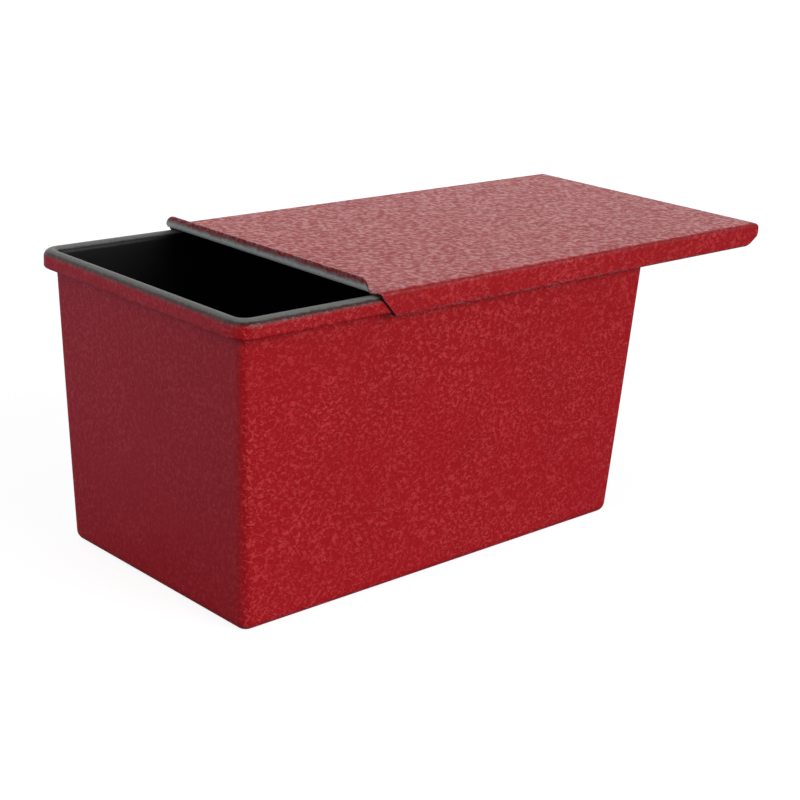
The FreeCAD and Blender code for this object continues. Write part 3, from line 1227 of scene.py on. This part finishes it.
    def row_points(self, row: LidRow) -> list[tuple[float, float, float]]:
        """Return a row's points from the leading end to the trailing one.

        Args:
            row: the row.
        """
        lip_y = self.lip_end(row.side)
        if row.lip:
            join = self.start + self.lip_bend
            first = [(x, row.y / lip_y * half, z) for x, z, half in self.lip_line(row.side)]
        else:
            begin = self.row_start(row)
            join = max(self.start + self.lip_bend, begin + self.bend_margin)
            beside_y = max(row.y, lip_y + self.half_gap)
            first = [(x, beside_y, row.z) for x in np.linspace(begin, join, self.end_steps)[:-1]]
            first.append((join, row.y, row.z))
        if row.stop:
            leave = self.plate_end
            share = row.y / (self.stop_half_width - self.edge_round)
            last = [(x, share * half, z) for x, z, half in self.stop_line()]
        else:
            finish = self.row_end(row)
            leave = min(self.plate_end, finish - self.bend_margin)
            last = [(x, row.y, row.z) for x in np.linspace(leave, finish, self.end_steps)]
        between = eased(join, leave, self.plate_steps, self.plate_margin)
        plate = [(x, row.y, row.z) for x in between[1:-1]]
        return [(x, row.side * y, z) for x, y, z in first + plate + last]

    def outer_sheet(self) -> tuple[np.ndarray, list[tuple[int, ...]]]:
        """Return the outer surface's points and faces, still without thickness."""
        rows = [*reversed(self.half_rows(-1)), *self.half_rows(1)]
        grid = [self.row_points(row) for row in rows]
        width = len(grid[0])
        points: list[tuple[float, float, float]] = []
        numbers = np.zeros((len(rows), width), int)
        seen: dict[tuple[int, ...], int] = {}
        for r, line in enumerate(grid):
            for c, point in enumerate(line):
                key = tuple(round(value / WELD) for value in point)
                if key not in seen:
                    seen[key] = len(points)
                    points.append(point)
                numbers[r, c] = seen[key]
        faces = []
        for r, (here, after) in enumerate(zip(rows, rows[1:])):
            first = self.end_steps - 1 if here.lip is not after.lip else 0
            last = width - self.end_steps if here.stop is not after.stop else width - 1
            for c in range(first, last):
                ring = (numbers[r, c], numbers[r, c + 1], numbers[r + 1, c + 1], numbers[r + 1, c])
                corners = tuple(int(n) for n in dict.fromkeys(ring))
                if len(corners) > 2:
                    faces.append(corners)
        return np.array(points), faces

    def under_coat(self, point: Sequence[float]) -> tuple[float, float]:
        """Return the coat of the underside at a point.

        The coats meet along the lip's outer face. From there the distance grows round the lip's
        bend, and under the plate with the way in from the lip and from the rails.

        Args:
            point: a point of the outer surface.

        Returns:
            How far it is past the coats' meeting line, in mm, and how much painted light it has, 0
            to 1.
        """
        x, y, z = point
        foot = self.start + self.lip_bend
        bend = self.lip_bend - SHEET
        if x < foot - 20.0 * WELD and z > self.top + bend and abs(y) < self.stop_half_width:
            over = (z - self.lip_top + self.red_band) / MM
            return self.lip_blur * over, self.lip_painted_light
        upright = self.lip_top - self.red_band - self.top - bend
        turned = math.acos(min(max((foot - x) / bend, 0.0), 1.0))
        from_lip = (self.lip_blur * upright + self.lip_bend * turned + max(x - foot, 0.0)) / MM
        from_side = max(self.half_width - abs(y), self.top - z) / MM + self.rail_over
        # painted light on the lip's outer face and round its bend, fading out onto the plate
        painted_lift = self.lip_painted_light * (1.0 + turned / (math.pi / 2.0)) - max(x - foot, 0.0) / MM
        if abs(y) > self.stop_half_width:
            painted_lift = 0.0
        return -min(from_lip, from_side, self.deepest), min(max(painted_lift, 0.0), 1.0)

    def wear_and_highlight(self, point: Sequence[float]) -> float:
        """Return how much wearing and painted highlight the outside has at a point: most at the
        bottom of the hooks' bends.

        Args:
            point: a point of the outer surface.
        """
        _, y, z = point
        down = 1.0 - (z - self.hook_bottom) / self.hook_bend
        return max(down, 0.0) if abs(y) > self.half_width - self.hook_bend else 0.0

    def build(self, finish: bpy.types.Material) -> bpy.types.Object:
        """Build and dress the lid.

        Args:
            finish: the coated sheet's material.

        Returns:
            The finished piece, riding on its body.
        """
        points, faces = self.outer_sheet()
        lid = thickened(
            "lid_sheet", points, faces, SHEET, self.edge_round, self.under_coat, self.wear_and_highlight
        )
        lid.data.materials.append(finish)
        note_facing(lid)
        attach(lid, Body.LID.value)
        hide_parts("sliding_lid")
        return lid


def thickened(
    name: str,
    points: np.ndarray,
    faces: Sequence[tuple[int, ...]],
    thickness: float,
    edge_round: float,
    under_coat: Callable[[Sequence[float]], tuple[float, float]],
    wear_and_highlight: Callable[[Sequence[float]], float],
) -> bpy.types.Object:
    """Give an open sheet its thickness, inwards, and round its cut edges.

    Args:
        name: the object's name.
        points: the outer surface's points.
        faces: its faces, outside counter-clockwise.
        thickness: the sheet's thickness.
        edge_round: radius on the cut edges, which stand out by this much.
        under_coat: coat distance and painted light of the inner side at an outer point.
        wear_and_highlight: how much wearing and painted highlight the outer side has at an outer
            point.

    Returns:
        The closed mesh object.
    """
    normals = point_normals(points, faces)
    outward = edge_directions(points, faces, normals)
    count = len(points)
    all_points = [*points, *(points - normals * thickness)]
    under, under_light = zip(*(under_coat(p) for p in points))
    over = [RED_OVER] * count + list(under)
    least, most = EDGE_OVER
    lip_light = [0.0] * count + list(under_light)
    edge = [wear_and_highlight(p) for p in points] + [0.0] * count
    all_faces = list(faces) + [tuple(n + count for n in reversed(f)) for f in faces]
    quarter = [(math.sin(a), 1.0 - math.cos(a)) for a in np.radians((30.0, 60.0, 90.0))]
    profile = [(edge_round * s, edge_round * d) for s, d in quarter]
    profile += [(out, thickness - down) for out, down in reversed(profile)]
    strips: dict[int, list[int]] = {}
    for vertex, direction in outward.items():
        strip = [vertex]
        for out, down in profile:
            share = down / thickness
            strip.append(len(all_points))
            all_points.append(points[vertex] + direction * out - normals[vertex] * down)
            over.append((1.0 - share) * most + share * min(max(under[vertex], least), most))
            edge.append(1.0)
            lip_light.append(0.0)
        strips[vertex] = [*strip, vertex + count]
    for start, end in open_edges(faces):
        for low, high in zip(range(len(profile) + 1), range(1, len(profile) + 2)):
            all_faces.append((strips[end][low], strips[start][low],
                              strips[start][high], strips[end][high]))
    return mesh_object(name, all_points, all_faces, {OVER: over, EDGE_WEAR_AND_HIGHLIGHT: edge, LIP_LIGHT: lip_light})


def open_edges(faces: Sequence[tuple[int, ...]]) -> list[tuple[int, int]]:
    """Return the directed edges that only one face has.

    Args:
        faces: vertex numbers of each face.
    """
    directed = {(f[k], f[(k + 1) % len(f)]) for f in faces for k in range(len(f))}
    return [(a, b) for a, b in directed if (b, a) not in directed]


def point_normals(points: np.ndarray, faces: Sequence[tuple[int, ...]]) -> np.ndarray:
    """Return unit normals at the points, averaged over their faces.

    Args:
        points: the points.
        faces: their faces.
    """
    total = np.zeros_like(points)
    for f in faces:
        corners = points[list(f)]
        normal = np.zeros(3)
        for k in range(1, len(f) - 1):
            normal += np.cross(corners[k] - corners[0], corners[k + 1] - corners[0])
        normal /= max(float(np.linalg.norm(normal)), TINY)
        for n in f:
            total[n] += normal
    return total / np.maximum(np.linalg.norm(total, axis=1, keepdims=True), TINY)


def edge_directions(
    points: np.ndarray, faces: Sequence[tuple[int, ...]], normals: np.ndarray
) -> dict[int, np.ndarray]:
    """Return the way out of the sheet at each point of its cut edge.

    Args:
        points: the points.
        faces: their faces.
        normals: the points' normals.

    Returns:
        For each edge point a direction in the sheet, longer at a corner so that the edge's
        rounded strip keeps its width.
    """
    sums: dict[int, list[np.ndarray]] = {}
    for start, end in open_edges(faces):
        along = points[end] - points[start]
        for n in (start, end):
            out = np.cross(along, normals[n])
            sums.setdefault(n, []).append(out / max(float(np.linalg.norm(out)), TINY))
    ways = {}
    for n, parts in sums.items():
        total = np.sum(parts, axis=0)
        length = max(float(np.linalg.norm(total)), TINY)
        ways[n] = total / length * min(len(parts) / length, MITRE_LIMIT)
    return ways


# ---- studio ----------------------------------------------------------------------------------
@dataclass(frozen=True)
class Lamp:
    """One soft lamp, far enough away to light evenly."""

    name: str
    comes_from: tuple[float, float, float]
    strength: float
    spread: float                   # apparent size in degrees

    def build(self) -> bpy.types.Object:
        """Build the lamp."""
        data = bpy.data.lights.new(self.name, "SUN")
        data.energy = self.strength * math.pi
        data.angle = math.radians(self.spread)
        lamp = bpy.data.objects.new(self.name, data)
        lamp.rotation_mode = "QUATERNION"
        lamp.rotation_quaternion = Vector(self.comes_from).to_track_quat("Z", "Y")
        bpy.context.scene.collection.objects.link(lamp)
        return lamp


@dataclass(frozen=True)
class Studio:
    """Pale floor, pale surroundings and two soft lamps."""

    lamps: tuple[Lamp, ...] = (
        Lamp("key_lamp", (0.32, -0.90, 0.31), 0.75, 44.0),
        Lamp("side_lamp", (-0.95, -0.05, 0.31), 0.21, 60.0),
    )
    ambient_low: float = 0.12       # light from the horizon
    ambient_high: float = 0.50      # light from straight above
    ambient_front: float = 0.35     # share of that light on the dim side of the room
    bright_side: tuple[float, float, float] = (-0.20, 0.98, 0.0)
    dim_gloss: float = 0.12         # how bright the dim side of the room mirrors
    bright_gloss: float = 0.98
    room_limits: Limits = (-0.6, 0.5)       # from the dim side to the bright one
    height_limits: Limits = (0.0, 0.9)      # from the horizon upwards
    floor_radius: float = 6.0
    floor_sides: int = 64
    floor_bright: tuple[float, float, float] = (0.50, 0.48, 0.66)
    floor_dim: tuple[float, float, float] = (0.12, 0.12, 0.13)
    floor_limits: Limits = (-0.25, 0.25)    # metres towards the bright side
    floor_shade: float = 0.28       # how much of the floor's white can be shaded
    floor_glow: float = 0.88        # and how much of it can't

    def world(self) -> None:
        """Build the world: even light, a white backdrop, and a dimmer room in front."""
        world = bpy.data.worlds.new("studio_world")
        world.use_nodes = True
        bpy.context.scene.world = world
        graph = Graph(world.node_tree)
        way = graph.add("ShaderNodeTexCoord", output="Generated")
        behind = graph.add(
            "ShaderNodeVectorMath", {"operation": "DOT_PRODUCT"},
            {0: way, 1: self.bright_side}, output="Value",
        )
        side = graph.step(behind, *self.room_limits)
        gloss = self.dim_gloss + (self.bright_gloss - self.dim_gloss) * side
        climb = graph.add("ShaderNodeSeparateXYZ", None, {"Vector": way}, output="Z")
        lift = graph.step(climb, *self.height_limits)
        lift = lift * (self.ambient_front + (1.0 - self.ambient_front) * side)
        ambient = self.ambient_low + (self.ambient_high - self.ambient_low) * lift
        path = graph.add("ShaderNodeLightPath", output="Is Camera Ray")
        glossy = Field(graph, path.socket.node.outputs["Is Glossy Ray"])
        through = Field(graph, path.socket.node.outputs["Is Transmission Ray"])
        light = graph.blend(glossy, ambient, gloss, "FLOAT")
        light = graph.blend(
            graph.add("ShaderNodeMath", {"operation": "MAXIMUM"}, {0: path, 1: through}),
            light, 1.0, "FLOAT",
        )
        sky = graph.add(
            "ShaderNodeBackground", None, {"Color": rgba((1.0, 1.0, 1.0)), "Strength": light}
        )
        graph.add("ShaderNodeOutputWorld", None, {"Surface": sky})

    def floor(self) -> bpy.types.Object:
        """Build the floor, white to the eye where nothing shades it."""
        around = arc((0.0, 0.0), self.floor_radius, 0.0, 360.0, self.floor_sides)[:-1]
        floor = mesh_object("floor", [(x, y, 0.0) for x, y in around], [range(len(around))], {})
        material, graph = new_material("floor_paper")
        seen = graph.add("ShaderNodeLightPath", output="Is Camera Ray")
        towards = graph.add(
            "ShaderNodeVectorMath", {"operation": "DOT_PRODUCT"},
            {0: graph.add("ShaderNodeTexCoord", output="Object"), 1: self.bright_side},
            output="Value",
        )
        tone = graph.blend(
            graph.step(towards, *self.floor_limits),
            rgba(self.floor_dim), rgba(self.floor_bright),
        )
        paper = graph.add("ShaderNodeBsdfDiffuse", None, {"Color": tone})
        faint = graph.add("ShaderNodeBsdfDiffuse", None, {"Color": rgba((self.floor_shade,) * 3)})
        glow = graph.add("ShaderNodeEmission", None, {"Strength": self.floor_glow})
        white = graph.add("ShaderNodeAddShader", None, {0: faint, 1: glow})
        surface = graph.add("ShaderNodeMixShader", None, {0: seen, 1: paper, 2: white})
        graph.add("ShaderNodeOutputMaterial", None, {"Surface": surface})
        floor.data.materials.append(material)
        return floor

    def build(self) -> None:
        """Build the whole studio."""
        self.world()
        self.floor()
        for lamp in self.lamps:
            lamp.build()
        bpy.context.scene.view_settings.view_transform = "Standard"


@dataclass(frozen=True)
class Viewpoint:
    """Where the camera stands and what it looks at."""

    azimuth: float = -44.06
    elevation: float = 18.27
    roll: float = 3.07
    distance: float = 0.600
    aim: tuple[float, float, float] = (-0.0148, -0.0388, 0.0638)
    lens: float = 76.63

    def build(self) -> bpy.types.Object:
        """Build the camera and make it the scene's."""
        turn, rise = math.radians(self.azimuth), math.radians(self.elevation)
        back = Vector((math.sin(turn) * math.cos(rise), -math.cos(turn) * math.cos(rise),
                       math.sin(rise)))
        data = bpy.data.cameras.new("camera")
        data.lens = self.lens
        data.clip_start = 0.01
        camera = bpy.data.objects.new("camera", data)
        camera.location = Vector(self.aim) + back * self.distance
        camera.rotation_mode = "QUATERNION"
        level = (-back).to_track_quat("-Z", "Y")
        camera.rotation_quaternion = level @ Quaternion((0.0, 0.0, 1.0), math.radians(self.roll))
        bpy.context.scene.collection.objects.link(camera)
        bpy.context.scene.camera = camera
        return camera


def report(piece: bpy.types.Object) -> None:
    """Log a finished piece.

    Args:
        piece: the piece.
    """
    log.info("%s: %d faces", piece.name, len(piece.data.polygons))


def main() -> None:
    """Build every piece, the studio and the camera."""
    logging.basicConfig(level=logging.INFO, format="%(name)s: %(message)s")
    sheet = CoatedSheet().make("coated_sheet")
    pan = PanShell.from_frame()
    report(pan.build(sheet))
    report(RimWire.from_frame(pan).build(DrawnWire().make("wire_steel")))
    report(SlidingLid.from_frame().build(sheet))
    Studio().build()
    Viewpoint().build()


if __name__ == "__main__":
    main()
